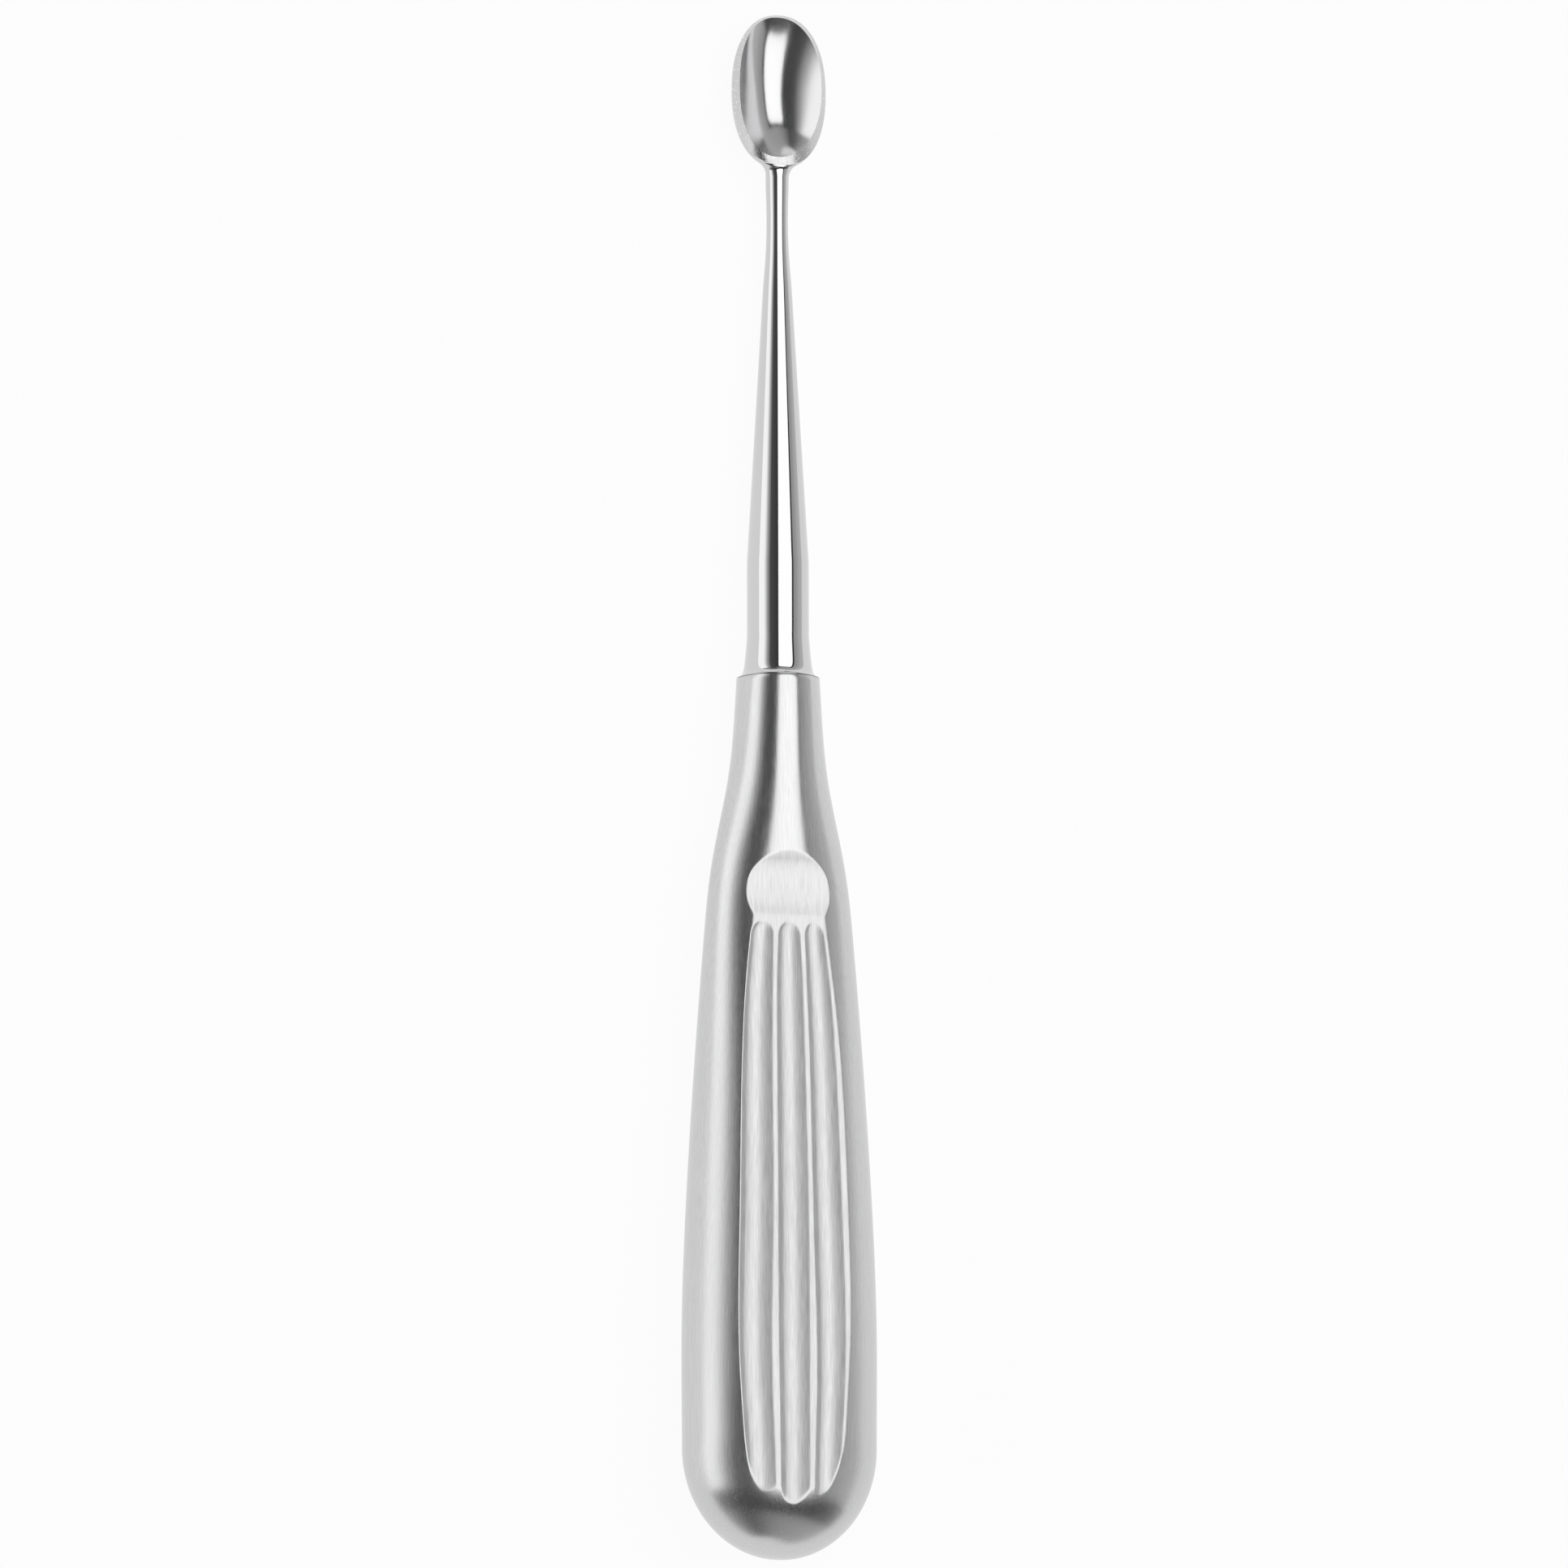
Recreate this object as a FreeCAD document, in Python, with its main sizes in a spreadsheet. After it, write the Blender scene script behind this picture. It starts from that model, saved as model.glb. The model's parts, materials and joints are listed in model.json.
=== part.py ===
import FreeCAD, Part
import math
import os

import Sketcher

# Bone curette: a polished shaft with an oval cup, fixed by a tang in a satin hollow handle.
# Both pieces are drawn along +Y, butt end at zero, cup opening and thumb rest facing +Z.
# The finished pieces are then tipped together onto the surface that they rest on.

# Driving sizes in millimetres
SIZES = {
    # Grip outline: stretch back to the last section, thickness, and how much wider than thick
    "butt_stretch": 12.0,
    "butt_thickness": 15.4,
    "butt_spread": 6.05,
    "swell_stretch": 11.0,
    "swell_thickness": 15.5,
    "swell_spread": 6.05,
    "palm_stretch": 15.5,
    "palm_thickness": 14.9,
    "palm_spread": 5.65,
    "finger_stretch": 16.1,
    "finger_thickness": 12.85,
    "finger_spread": 5.75,
    "front_stretch": 13.3,
    "front_thickness": 10.4,
    "front_spread": 6.2,
    "rest_stretch": 7.1,
    "rest_thickness": 9.5,
    "rest_spread": 5.6,
    "throat_stretch": 5.0,
    "throat_thickness": 9.3,
    "throat_spread": 3.9,
    "waist_stretch": 5.0,
    "waist_thickness": 9.15,
    "waist_spread": 2.03,
    "collar_stretch": 5.0,
    "collar_spread": 0.85,
    "neck_stretch": 6.2,
    "neck_diameter": 9.1,
    # Hollow inside of the handle
    "handle_wall": 1.2,
    "fluted_side_allowance": 2.1,
    # Thumb rest, a shallow scoop across the handle
    "rest_setback": 2.0,
    "rest_depth": 0.95,
    "rest_scoop_radius": 14.0,
    # Flat panel and the three flutes pressed into it
    "panel_depth_front": 0.7,
    "panel_depth_rear": 1.35,
    "flute_radius": 3.4,
    "flute_setback": 5.3,
    "flute_depth_front": 0.3,
    "flute_depth_rear": 0.53,
    "flute_pitch_front": 3.2,
    "flute_pitch_rear": 4.4,
    "outer_flute_drop": 0.1,
    # Tang and its bore
    "tang_diameter": 6.0,
    "tang_length": 20.0,
    "tang_clearance": 0.05,
    "tang_end_gap": 0.5,
    # Shaft
    "flare_length": 4.8,
    "shaft_diameter": 6.8,
    "parallel_length": 8.0,
    "taper_length": 35.7,
    "slim_diameter": 2.56,
    "slim_length": 7.6,
    # Cup
    "cup_length": 17.7,
    "cup_width": 10.6,
    "cup_depth": 4.0,
    "cup_wall": 0.85,
    "cup_lift": 0.75,
    "rim_rise": 1.15,
    "bevel_inset": 0.6,
    "bevel_flare": 0.6,
    "bevel_depth": 0.45,
    "heel_overlap": 2.4,
    "heel_fillet": 1.0,
    # How far cutters run past the metal
    "cutter_overrun": 5.0,
}

GRIP_SECTIONS = ["butt", "swell", "palm", "finger", "front", "rest", "throat", "waist", "collar", "neck"]
HOLLOW_SECTIONS = ["butt", "swell", "palm", "finger", "front"]

ALONG_X = FreeCAD.Vector(1, 0, 0)
ALONG_Y = FreeCAD.Vector(0, 1, 0)
ALONG_Z = FreeCAD.Vector(0, 0, 1)

# Fineness of the search for edges and for the resting tilt
EDGE_TOLERANCE = 0.01
UNDERSIDE_POINTS = 2000
TILT_HALVINGS = 30

doc = FreeCAD.newDocument("bone_curette")
sheet = doc.addObject("Spreadsheet::Sheet", "Sizes")
for row, (size_name, size_value) in enumerate(SIZES.items(), start=1):
    sheet.set(f"A{row}", size_name.replace("_", " "))
    sheet.set(f"B{row}", str(size_value))
    sheet.setAlias(f"B{row}", size_name)
doc.recompute()


def size(name):
    """The value that a cell of the sheet holds."""
    return float(getattr(sheet, name))


def value(formula):
    """The number that a formula on the sheet gives."""
    return float(sheet.evalExpression(formula))


def add(kind, name, **expressions):
    """A new object whose properties follow the sheet."""
    made = doc.addObject(kind, name)
    for prop, formula in expressions.items():
        made.setExpression(prop.replace("__", "."), formula)
    return made


def turn(made, rotation):
    """Set an object's rotation and leave its bound place alone."""
    made.Placement = FreeCAD.Placement(made.Placement.Base, rotation)


def reach(section):
    """Formula for the distance from the butt end to a section of the grip."""
    passed = GRIP_SECTIONS[: GRIP_SECTIONS.index(section) + 1]
    return " + ".join(f"Sizes.{name}_stretch" for name in passed)


def distance_to(section):
    """The same distance as a number."""
    passed = GRIP_SECTIONS[: GRIP_SECTIONS.index(section) + 1]
    return sum(size(f"{name}_stretch") for name in passed)


def thickness(section):
    """Formula for a section's thickness: the neck is round and the collar keeps its diameter."""
    return "Sizes.neck_diameter" if section in ("collar", "neck") else f"Sizes.{section}_thickness"


def width(section):
    """Formula for a section's width."""
    spread = "" if section == "neck" else f" + Sizes.{section}_spread"
    return thickness(section) + spread


# Places that several features share
REST_CENTRE = f"{reach('rest')} - Sizes.rest_setback"
HANDLE_LENGTH = reach("neck")
FLARE_END = f"{HANDLE_LENGTH} + Sizes.flare_length"
PARALLEL_END = f"{FLARE_END} + Sizes.parallel_length"
TAPER_END = f"{PARALLEL_END} + Sizes.taper_length"
CUP_HEEL = f"{TAPER_END} + Sizes.slim_length"
CUP_CENTRE = f"{CUP_HEEL} + Sizes.cup_length / 2"
RIM_HEIGHT = "Sizes.cup_lift + Sizes.rim_rise"
BEVEL_FOOT = f"{RIM_HEIGHT} - Sizes.bevel_depth"


def oval_skin(outline):
    """Solid whose every cross-section is an exact ellipse.

    Each outline point holds half width, distance from the butt end and half thickness, so one
    smooth curve through them carries both outlines. Sections lofted one by one would ripple.
    """
    last = (outline[-1] - outline[-2]).normalize()
    curve = Part.BSplineCurve()
    curve.interpolate(Points=outline, InitialTangent=ALONG_Y, FinalTangent=last)
    corner = 0.5 ** 0.5
    ring = [(1, 0, 1), (1, 1, corner), (0, 1, 1), (-1, 1, corner), (-1, 0, 1)]
    ring += [(-across, -up, weight) for across, up, weight in ring[1:]]
    poles = []
    for pole in curve.getPoles():
        poles.append([FreeCAD.Vector(pole.x * across, pole.y, pole.z * up) for across, up, _ in ring])
    weights = [[weight for _, _, weight in ring] for _ in poles]
    surface = Part.BSplineSurface()
    surface.buildFromPolesMultsKnots(
        poles,
        curve.getMultiplicities(),
        [3, 2, 2, 2, 3],
        curve.getKnots(),
        [0, 1, 2, 3, 4],
        False,
        False,
        curve.Degree,
        2,
        weights,
    )
    skin = surface.toShape()
    faces = [skin]
    for edge in skin.Edges:
        if edge.isClosed() and not edge.isSeam(skin):
            faces.append(Part.Face(Part.Wire(edge)))
    shell = Part.Shell(faces)
    shell.sewShape()
    return Part.Solid(shell)


def grip_form(name, sections, inset, top_inset):
    """Oval length of the grip, closed at the butt end by half an ellipsoid.

    The inset leaves a wall all round. The top inset leaves more metal on the fluted side.
    """
    outline = []
    for section in sections:
        half_width = value(f"({width(section)}) / 2 - {inset}")
        half_thickness = value(f"({thickness(section)}) / 2 - {inset} - {top_inset} / 2")
        outline.append(FreeCAD.Vector(half_width, distance_to(section), half_thickness))
    body = doc.addObject("Part::Feature", f"{name}_length")
    body.Shape = oval_skin(outline)
    body.Placement.Base = FreeCAD.Vector(0, 0, value(f"-{top_inset} / 2"))
    dome = add(
        "Part::Ellipsoid",
        f"{name}_dome",
        Radius1=f"Sizes.butt_thickness / 2 - {inset} - {top_inset} / 2",
        Radius2=f"({width('butt')}) / 2 - {inset}",
        Radius3=f"Sizes.butt_stretch - {inset}",
        Placement__Base__y=reach("butt"),
        Placement__Base__z=f"-{top_inset} / 2",
    )
    dome.Angle3 = 180
    turn(dome, FreeCAD.Rotation(ALONG_Z, 180))
    form = add("Part::MultiFuse", f"{name}_form")
    form.Shapes = [body, dome]
    return form


def panel_point(section, depth_name):
    """Point of the panel's middle line, sunk below the natural top of a section."""
    height = size(f"{section}_thickness") / 2 - size(depth_name)
    return FreeCAD.Vector(0, distance_to(section), height)


def point_at(start, end, station):
    """Point of the straight line through two points at a given distance from the butt end."""
    share = (station - start.y) / (end.y - start.y)
    return start + (end - start) * share


def thumb_rest_cutter():
    """Wide roller that scoops the thumb rest."""
    roller = add(
        "Part::Cylinder",
        "thumb_rest_cutter",
        Radius="Sizes.rest_scoop_radius",
        Height=width("rest"),
        Placement__Base__x=f"-({width('rest')}) / 2",
        Placement__Base__y=REST_CENTRE,
        Placement__Base__z="Sizes.rest_thickness / 2 - Sizes.rest_depth + Sizes.rest_scoop_radius",
    )
    turn(roller, FreeCAD.Rotation(ALONG_Z, ALONG_X))
    return roller


def panel_cutter(front, rear):
    """Block that levels the panel, from the thumb rest to beyond the butt end."""
    along = (front - rear).normalize()
    block = add(
        "Part::Box",
        "panel_cutter",
        Length=width("swell"),
        Width=f"{REST_CENTRE} + Sizes.cutter_overrun",
        Height="Sizes.swell_thickness",
    )
    start = point_at(front, rear, -size("cutter_overrun"))
    start.x = -(size("swell_thickness") + size("swell_spread")) / 2
    block.Placement = FreeCAD.Placement(start, FreeCAD.Rotation(ALONG_Y, along))
    return block


def flute_cutter(side, front, rear):
    """Round-nosed cutter on a straight path; side is -1, 0 or 1 across the panel."""
    start_station = distance_to("rest") - size("rest_setback") - size("flute_setback")
    radius = size("flute_radius")
    start = point_at(front, rear, start_station)
    start += FreeCAD.Vector(side * size("flute_pitch_front"), 0, radius - size("flute_depth_front"))
    rise = radius - size("flute_depth_rear") - abs(side) * size("outer_flute_drop")
    end = rear + FreeCAD.Vector(side * size("flute_pitch_rear"), 0, rise)
    name = {-1: "left", 0: "middle", 1: "right"}[side]
    path = add(
        "Part::Cylinder",
        f"{name}_flute_path",
        Radius="Sizes.flute_radius",
        Height=f"{REST_CENTRE} - Sizes.flute_setback + Sizes.cutter_overrun",
    )
    path.Placement = FreeCAD.Placement(start, FreeCAD.Rotation(ALONG_Z, end - start))
    nose = add("Part::Sphere", f"{name}_flute_nose", Radius="Sizes.flute_radius")
    nose.Placement.Base = start
    flute = add("Part::MultiFuse", f"{name}_flute")
    flute.Shapes = [path, nose]
    return flute


def tang_bore():
    """Blind bore in the neck, deeper than the tang by the end gap."""
    bore = add(
        "Part::Cylinder",
        "tang_bore",
        Radius="Sizes.tang_diameter / 2 + Sizes.tang_clearance",
        Height="Sizes.tang_length + Sizes.tang_end_gap + Sizes.cutter_overrun",
        Placement__Base__y=f"{HANDLE_LENGTH} - Sizes.tang_length - Sizes.tang_end_gap",
    )
    turn(bore, FreeCAD.Rotation(ALONG_Z, ALONG_Y))
    return bore


def make_handle():
    """Hollow oval handle with thumb rest, fluted panel and tang bore."""
    outside = grip_form("grip", GRIP_SECTIONS, "0", "0")
    inside = grip_form("hollow", HOLLOW_SECTIONS, "Sizes.handle_wall", "Sizes.fluted_side_allowance")
    front = panel_point("front", "panel_depth_front")
    rear = panel_point("swell", "panel_depth_rear")
    cutters = [inside, tang_bore(), panel_cutter(front, rear), thumb_rest_cutter()]
    for side in (-1, 0, 1):
        cutters.append(flute_cutter(side, front, rear))
    handle = outside
    for cutter in cutters:
        handle = less(handle, cutter)
    handle.Label = "handle"
    return handle


def turned_shaft():
    """Body of revolution: tang, shoulder with its flare, parallel shaft, taper and slim neck."""
    body = doc.addObject("PartDesign::Body", "turned_shaft")
    sketch = body.newObject("Sketcher::SketchObject", "shaft_outline")
    plane = next(o for o in body.Origin.OriginFeatures if o.Role == "XY_Plane")
    sketch.AttachmentSupport = [(plane, "")]
    sketch.MapMode = "FlatFace"

    # Corners as radius and distance from the butt end
    tang = "Sizes.tang_diameter / 2"
    shaft = "Sizes.shaft_diameter / 2"
    slim = "Sizes.slim_diameter / 2"
    corners = [
        ("0", f"{HANDLE_LENGTH} - Sizes.tang_length"),
        (tang, f"{HANDLE_LENGTH} - Sizes.tang_length"),
        (tang, HANDLE_LENGTH),
        ("Sizes.neck_diameter / 2", HANDLE_LENGTH),
        (shaft, FLARE_END),
        (shaft, PARALLEL_END),
        (slim, TAPER_END),
        (slim, f"{CUP_HEEL} + Sizes.heel_overlap"),
        ("0", f"{CUP_HEEL} + Sizes.heel_overlap"),
    ]
    points = [FreeCAD.Vector(value(across), value(along), 0) for across, along in corners]
    flare = corners.index(("Sizes.neck_diameter / 2", HANDLE_LENGTH))
    edges = []
    for number, start in enumerate(points):
        end = points[(number + 1) % len(points)]
        if number == flare:
            edges.append(sketch.addGeometry(flare_arc(start, end)))
        else:
            edges.append(sketch.addGeometry(Part.LineSegment(start, end)))

    # An edge starts where the one before it ends; the arc runs the other way round
    for number in range(len(points)):
        before = edges[number - 1]
        here = edges[number]
        if number == flare:
            sketch.addConstraint(Sketcher.Constraint("Coincident", before, 2, here, 2))
        elif number == flare + 1:
            sketch.addConstraint(Sketcher.Constraint("Tangent", before, 1, here, 1))
        else:
            sketch.addConstraint(Sketcher.Constraint("Coincident", before, 2, here, 1))
    for number, (across, along) in enumerate(corners):
        here = edges[number]
        end = 2 if number == flare else 1
        place_point(sketch, here, end, "DistanceY", along)
        if across == "0":
            sketch.addConstraint(Sketcher.Constraint("PointOnObject", here, end, -2))
        else:
            place_point(sketch, here, end, "DistanceX", across)

    turned = body.newObject("PartDesign::Revolution", "turned_form")
    turned.Profile = sketch
    turned.ReferenceAxis = (sketch, ["V_Axis"])
    turned.Angle = 360
    return body


def flare_arc(shoulder, tangent_point):
    """Hollow arc from the shoulder that runs tangent into the parallel shaft."""
    rise = shoulder.x - tangent_point.x
    run = tangent_point.y - shoulder.y
    radius = (rise ** 2 + run ** 2) / (2 * rise)
    centre = tangent_point + FreeCAD.Vector(radius, 0, 0)
    circle = Part.Circle(centre, ALONG_Z, radius)
    return Part.ArcOfCircle(circle, circle.parameter(tangent_point), circle.parameter(shoulder))


def place_point(sketch, edge, end, direction, formula):
    """Bind a sketch point's distance from the origin to a formula."""
    constraint = sketch.addConstraint(Sketcher.Constraint(direction, -1, 1, edge, end, value(formula)))
    sketch.setExpression(f"Constraints[{constraint}]", formula)


def cup_ellipsoid(name, inset):
    """Ellipsoid of the cup's skin, smaller by an inset all round."""
    return add(
        "Part::Ellipsoid",
        name,
        Radius1=f"Sizes.cup_depth - {inset}",
        Radius2=f"Sizes.cup_width / 2 - {inset}",
        Radius3=f"Sizes.cup_length / 2 - {inset}",
        Placement__Base__y=CUP_CENTRE,
        Placement__Base__z="Sizes.cup_lift",
    )


def rim_cutter():
    """Block with an oval plug left out of it, which levels the cup's rim and grinds its outer edge."""
    block = add(
        "Part::Box",
        "above_rim",
        Length="Sizes.cup_width + 2 * Sizes.cutter_overrun",
        Width="Sizes.slim_length + Sizes.cup_length + Sizes.cutter_overrun",
        Height="Sizes.cup_depth",
        Placement__Base__x="-Sizes.cup_width / 2 - Sizes.cutter_overrun",
        Placement__Base__y=TAPER_END,
        Placement__Base__z=BEVEL_FOOT,
    )
    rings = []
    grinding = (("foot", BEVEL_FOOT, "-Sizes.bevel_flare"), ("rim", RIM_HEIGHT, "Sizes.bevel_inset"))
    for name, height, inset in grinding:
        ring = add(
            "Part::Ellipse",
            f"bevel_{name}_oval",
            MajorRadius=f"Sizes.cup_length / 2 - ({inset})",
            MinorRadius=f"Sizes.cup_width / 2 - ({inset})",
            Placement__Base__y=CUP_CENTRE,
            Placement__Base__z=height,
        )
        turn(ring, FreeCAD.Rotation(ALONG_Z, 90))
        rings.append(ring)
    plug = add("Part::Loft", "bevel_plug")
    plug.Sections = rings
    plug.Solid = True
    plug.Ruled = True
    return less(block, plug)


def heel_edges(shape):
    """Numbers of the edges where the slim neck runs into the cup's outside."""
    slim_radius = size("slim_diameter") / 2
    found = []
    for number, edge in enumerate(shape.Edges, start=1):
        first, last = edge.ParameterRange
        middle = edge.valueAt((first + last) / 2)
        off_axis = FreeCAD.Vector(middle.x, 0, middle.z).Length
        if abs(off_axis - slim_radius) < EDGE_TOLERANCE and middle.y > value(CUP_HEEL):
            found.append(number)
    return found


def less(shape, cutter):
    """A shape with a cutter taken away."""
    cut = add("Part::Cut", f"{shape.Name}_less_{cutter.Name}")
    cut.Base = shape
    cut.Tool = cutter
    return cut


def make_curette_shaft():
    """Shaft and cup in one forging: blended at the heel, levelled, hollowed and ground."""
    blank = add("Part::MultiFuse", "forging")
    blank.Shapes = [turned_shaft(), cup_ellipsoid("cup_skin", "0")]
    doc.recompute()
    shaft = add("Part::Fillet", "blended")
    shaft.Base = blank
    radius = size("heel_fillet")
    shaft.Edges = [(number, radius, radius) for number in heel_edges(blank.Shape)]
    for cutter in (rim_cutter(), cup_ellipsoid("cup_hollow", "Sizes.cup_wall")):
        shaft = less(shaft, cutter)
    shaft.Label = "curette_shaft"
    return shaft


def underside(shape):
    """Points along the underside of a shape in its middle plane, as distance and height."""
    points = []
    for wire in shape.slice(ALONG_X, 0):
        points += [(point.y, point.z) for point in wire.discretize(Number=UNDERSIDE_POINTS)]
    return [point for point in points if point[1] < 0]


def lowest(points, tilt):
    """Height of the lowest of some points once the cup end is tipped down."""
    return min(up * math.cos(tilt) - along * math.sin(tilt) for along, up in points)


def resting_tilt(handle, shaft):
    """Angle at which the handle's back and the cup's back touch one flat surface."""
    back = underside(handle)
    cup = [point for point in underside(shaft) if point[0] > value(CUP_HEEL)]
    level, steep = 0.0, math.pi / 4
    for _ in range(TILT_HALVINGS):
        tilt = (level + steep) / 2
        if lowest(back, tilt) < lowest(cup, tilt):
            level = tilt
        else:
            steep = tilt
    return tilt


def lay_down(pieces):
    """Tip the pieces together onto the surface, centred on the origin."""
    tilt = resting_tilt(*(piece.Shape for piece in pieces))
    tipped = FreeCAD.Placement(FreeCAD.Vector(0, 0, 0), FreeCAD.Rotation(ALONG_X, -math.degrees(tilt)))
    bounds = FreeCAD.BoundBox()
    for piece in pieces:
        piece.Placement = tipped
        bounds.add(piece.Shape.optimalBoundingBox(False, False))
    middle = (bounds.YMin + bounds.YMax) / 2
    for piece in pieces:
        piece.Placement.Base = FreeCAD.Vector(0, -middle, -bounds.ZMin)


handle = make_handle()
curette_shaft = make_curette_shaft()
doc.recompute()
for made in doc.Objects:
    if "Invalid" in made.State or "Error" in made.State:
        raise RuntimeError(f"{made.Name} did not recompute: {made.State}")
lay_down([handle, curette_shaft])
for piece in (handle, curette_shaft):
    if piece.Shape.isNull() or not piece.Shape.isValid() or len(piece.Shape.Solids) != 1:
        raise RuntimeError(f"{piece.Label} is not one valid solid")

os.makedirs("parts", exist_ok=True)
for piece in (handle, curette_shaft):
    piece.Shape.exportStep(f"parts/{piece.Label}.step")
    print(piece.Label, f"{piece.Shape.Volume:.1f} cubic mm")
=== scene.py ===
import json
import math

import bpy
import numpy as np
from mathutils import Matrix, Vector


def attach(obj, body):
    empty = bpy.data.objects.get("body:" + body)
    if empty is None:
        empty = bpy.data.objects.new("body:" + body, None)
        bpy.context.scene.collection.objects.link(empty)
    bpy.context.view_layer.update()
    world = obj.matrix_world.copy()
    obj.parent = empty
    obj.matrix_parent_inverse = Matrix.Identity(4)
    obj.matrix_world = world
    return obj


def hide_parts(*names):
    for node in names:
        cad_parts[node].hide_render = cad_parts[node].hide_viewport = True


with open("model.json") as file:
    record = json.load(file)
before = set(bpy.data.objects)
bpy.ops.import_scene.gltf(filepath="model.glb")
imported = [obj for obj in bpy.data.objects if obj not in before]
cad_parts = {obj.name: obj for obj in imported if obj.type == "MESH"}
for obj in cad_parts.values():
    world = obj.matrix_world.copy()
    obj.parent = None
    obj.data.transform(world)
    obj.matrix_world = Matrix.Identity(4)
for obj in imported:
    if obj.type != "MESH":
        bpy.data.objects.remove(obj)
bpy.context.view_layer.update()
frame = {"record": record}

# Sizes of the instrument in millimetres; stations are distances from the butt end along its axis
MM = 0.001
DOME_LENGTH = 12.0
TOP_DOME_LENGTH = 14.0
HANDLE_LENGTH = 96.2
CLIP_STATION = 105.0
# How far the finer meshes sit up and forward, and how much narrower each side is, so that rounding
# keeps them inside the solids' box
INSET = 0.01

# Grip sections: station, thickness, and how much wider than thick
GRIP_SECTIONS = [
    (DOME_LENGTH, 15.4, 6.05),
    (23.0, 15.5, 6.05),
    (38.5, 14.9, 5.65),
    (54.6, 12.85, 5.75),
    (67.9, 10.4, 6.2),
    (75.0, 9.5, 5.6),
    (80.0, 9.3, 3.9),
    (85.0, 9.15, 2.03),
    (90.0, 9.1, 0.85),
    (HANDLE_LENGTH, 9.1, 0.0),
]
# The top is a little more arched than an ellipse round one station
CREST_STATION = 81.0
CREST_REACH = 8.0
CREST_SHARPNESS = 0.25
NECK_RADIUS = 4.55
BORE_RADIUS = 3.05
BORE_END = 75.7
SEAM_CHAMFER = 0.09

# Thumb rest: height above the axis of a scoop across the handle, by station
REST_PROFILE = [
    (69.4, 4.46),
    (70.8, 4.09),
    (72.0, 3.89),
    (73.0, 3.83),
    (74.1, 3.87),
    (75.0, 4.06),
    (75.7, 4.29),
    (76.2, 4.48),
]
# Slopes of the scoop beyond its ends, and the station up to which the panel runs under it
REST_SLOPES = (-0.25, 0.36)
REST_STATION = 73.6

# Panel height above the axis, by station
PANEL_PROFILE = [
    (3.0, 6.62),
    (10.0, 6.62),
    (23.0, 6.35),
    (37.6, 6.05),
    (57.2, 5.05),
    (67.9, 4.5),
    (73.0, 4.26),
]
# The flutes' spacing and half widths, by station
FLUTE_PITCH = [(6.4, 3.58), (18.8, 4.06), (36.7, 3.86), (56.3, 3.47), (63.5, 3.12), (69.0, 2.72)]
MIDDLE_FLUTE = [(6.4, 1.66), (18.8, 1.76), (36.7, 1.78), (56.3, 1.6), (63.5, 1.46), (69.0, 1.22)]
OUTER_FLUTE = [(6.4, 1.46), (18.8, 1.63), (36.7, 1.68), (56.3, 1.48), (63.5, 1.3), (69.0, 1.06)]
# Slopes with which these curves run on beyond their last station
PANEL_END_SLOPE = -0.047
PITCH_END_SLOPE = -0.07
FLUTE_END_SLOPE = -0.03
# How much wider the left flute is, then a flute's section as slopes: the lean and hollow of its floor,
# the wall at its left, the one at its right, and the rounding between them
LEFT_WIDENING = 0.5
FLUTE_LEAN = 0.05
FLUTE_STEEPNESS = 0.42
FLUTE_WALL = 0.85
FLUTE_BACK = 0.34
FLUTE_CORNER = 0.1
# Where the flutes start to close towards the thumb rest, and where they end
FLUTE_NOSE = (67.4, 68.95)
LEAST_NOSE = 1e-6
# Depth of cut over which the ground finish takes over from the skin's
FINISH_EDGE = 0.04
# A height that no surface reaches, where there is no panel
CLEAR_HEIGHT = 50.0

# Edge softness where two surfaces meet
RIDGE_SOFTNESS = 0.05
PANEL_SOFTNESS = 0.09
REST_SOFTNESS = 0.06

# Density of the handle's mesh: rings in the butt's dome, spacing along the body, start, end and spacing
# round the thumb rest, rings in the neck, and columns over the top, down a side and underneath
DOME_RINGS = 72
DOME_FIRST_TURN = 0.02
BODY_START = 12.5
BODY_SPACING = 0.55
REST_ROWS = (65.5, 79.0, 0.15)
NECK_RINGS = 34
TOP_DEG = 42
TOP_COLUMNS = 168
SIDE_COLUMNS = 25
BACK_COLUMNS = 62
SHARP_DEG = 50

# Shaft
TANG_START = 76.2
TANG_RADIUS = 3.0
TANG_TIP_RADIUS = 2.7
TANG_CHAMFER = 0.3
# Flare at the joint, the sum of a long part and of a short one next to the handle
FLARE_START = 96.3
FLARE_END = 101.0
LONG_FLARE = 0.45
LONG_FLARE_POWER = 1.2
SHORT_FLARE = 0.75
SHORT_FLARE_REACH = 0.38
# Parallel stretch, and the taper with its waist before the cup
SHAFT_RADIUS = 3.4
PARALLEL_END = 109.0
SLIM_RADIUS = 1.28
WAIST_PROFILE = [
    (136.0, 1.797),
    (140.0, 1.55),
    (143.2, 1.3),
    (146.3, 1.19),
    (149.0, 1.21),
    (150.8, 1.27),
]
WAIST_END_SLOPE = 0.035
ROD_COLUMNS = 128
FLARE_RINGS = 48
FLARE_FIRST_SHARE = 0.06
PARALLEL_RINGS = 8
PARALLEL_GAP = 1.0
TAPER_RINGS = 64

# Cup: an oval with slightly full shoulders, widest at its lift above the shaft's axis
CUP_STATION = 161.4
CUP_HALF_LENGTH = 8.55
CUP_HALF_WIDTH = 5.3
CUP_DEPTH = 4.0
CUP_LIFT = 0.75
OVAL_POWER = 2.25
# Ground rim: its cutting edge, the foot of its bevel, which is higher where the neck joins, and the fall
# of the web between neck and bevel
RIM_HEIGHT = 1.9
BEVEL_FOOT = 0.88
HEEL_BEVEL_FOOT = 1.62
HEEL_BEVEL_REACH = 3.4
WEB_FALL = 0.14
BEVEL_SHARES = (0.03, 0.25, 0.5, 0.75, 0.97, 1.0)
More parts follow.
